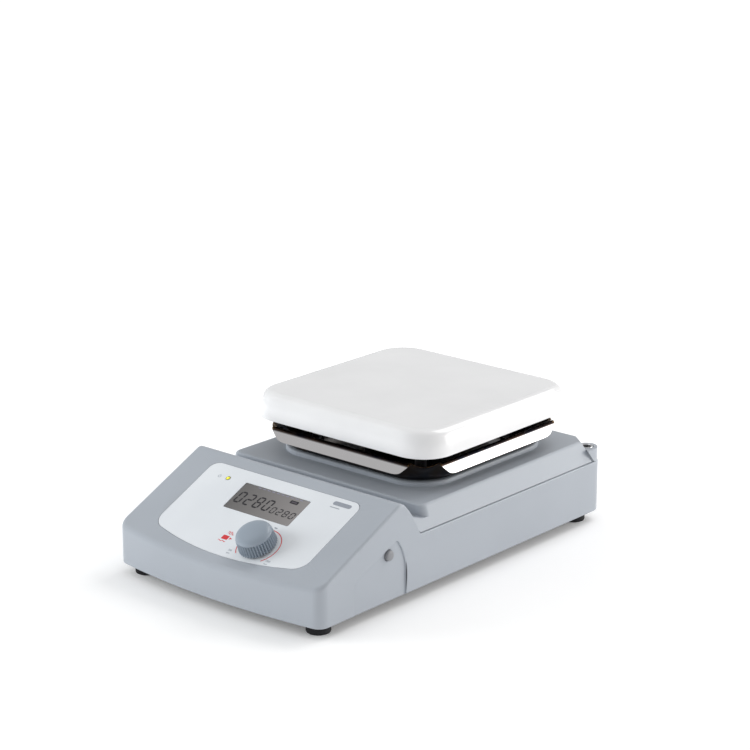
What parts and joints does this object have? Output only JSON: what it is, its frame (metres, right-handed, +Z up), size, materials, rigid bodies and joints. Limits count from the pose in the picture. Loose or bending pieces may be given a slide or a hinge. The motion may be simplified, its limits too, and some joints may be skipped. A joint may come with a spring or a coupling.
{
  "type": "magnetic stirrer",
  "caption": "Bench magnetic stirrer: square ceramic-coated work plate on a polished tray, sloping control face with display, ribbed knob and side button.",
  "frame": {"origin": "on the floor under the feet, at the centre of the whole part's footprint; the housing's plane of symmetry is 0.75 mm to the left of it, because the side button stands proud on the right only", "axes": "+Z up; -Y is the front, with the control face; +X is the right-hand side, with the power button"},
  "size_m": [0.1816, 0.3, 0.1021],
  "materials": {
    "grey_housing": "fine moulded texture, satin",
    "grey_knob": "satin",
    "white_ceramic": "glossy ceramic coating on metal",
    "polished_stainless": "mirror polished sheet",
    "overlay_film": "printed film, satin",
    "display_lens": "clear window over a grey liquid-crystal display",
    "black_plastic": "moulded",
    "inlet_plastic": "moulded",
    "yellow_lamp": "translucent lens",
    "rubber": "matt",
    "steel": "plated",
    "chromed_bush": "turned and plated",
    "aluminium": "cast",
    "insulation": "compressed mineral fibre",
    "circuit_board": "solder mask",
    "cable_grey": "flat ribbon",
    "brass": "plated",
    "magnet_nickel": "nickel plated"
  },
  "bodies": {
    "base": {"bottom_cover": "black_plastic", "bracket_screw_1": "steel", "bracket_screw_2": "steel", "bracket_screw_3": "steel", "bracket_screw_4": "steel", "control_board": "circuit_board", "display_module": "black_plastic", "display_window": "display_lens", "encoder_body": "steel", "encoder_nut": "steel", "foot_front_left": "rubber", "foot_front_right": "rubber", "foot_rear_left": "rubber", "foot_rear_right": "rubber", "foot_screw_front_left": "steel", "foot_screw_front_right": "steel", "foot_screw_rear_left": "steel", "foot_screw_rear_right": "steel", "heat_shield_tray": "polished_stainless", "heat_sink": "aluminium", "heater_disc": "aluminium", "inlet_pin_earth": "brass", "inlet_pin_live": "brass", "inlet_pin_neutral": "brass", "insulation_disc": "insulation", "lower_housing": "grey_housing", "mains_inlet": "inlet_plastic", "motor": "steel", "motor_bracket": "steel", "panel_overlay": "overlay_film", "plate_post_1": "steel", "plate_post_2": "steel", "plate_post_3": "steel", "plate_post_4": "steel", "power_board": "circuit_board", "power_switch": "black_plastic", "ribbon_cable": "cable_grey", "rod_socket_left": "chromed_bush", "rod_socket_plug_left": "black_plastic", "rod_socket_plug_right": "black_plastic", "rod_socket_right": "chromed_bush", "status_light": "yellow_lamp", "top_cover": "grey_housing", "transformer": "black_plastic", "work_plate": "white_ceramic"},
    "encoder_push": {"encoder_plunger": "brass"},
    "knob": {"control_knob": "grey_knob", "encoder_shaft": "steel"},
    "power_button": {"power_button": "grey_knob"},
    "stirring_rotor": {"motor_shaft": "steel", "magnet_carrier": "black_plastic", "drive_magnet_north": "magnet_nickel", "drive_magnet_south": "magnet_nickel"},
    "fuse_drawer": {"fuse_drawer": "inlet_plastic"}
  },
  "joints": [
    {"name": "encoder_press", "type": "slide", "parent": "base", "child": "encoder_push", "axis": [0, 0.4242, -0.9056], "range_m": [0, 0.0008], "stiffness_N_per_m": 2000, "springref_m": -0.0005},
    {"name": "knob_turn", "type": "hinge", "parent": "encoder_push", "child": "knob", "pos_m": [0.02175, -0.12682, 0.04161], "axis": [0, -0.4242, 0.9056], "continuous": true},
    {"name": "power_press", "type": "slide", "parent": "base", "child": "power_button", "axis": [-1, 0, 0], "range_m": [0, 0.0015], "stiffness_N_per_m": 1000, "springref_m": -0.001},
    {"name": "stirrer_spin", "type": "hinge", "parent": "base", "child": "stirring_rotor", "pos_m": [-0.00075, 0.05, 0.06], "axis": [0, 0, 1], "continuous": true},
    {"name": "fuse_drawer_slide", "type": "slide", "parent": "base", "child": "fuse_drawer", "axis": [0, 1, 0], "range_m": [0, 0.018]}
  ]
}
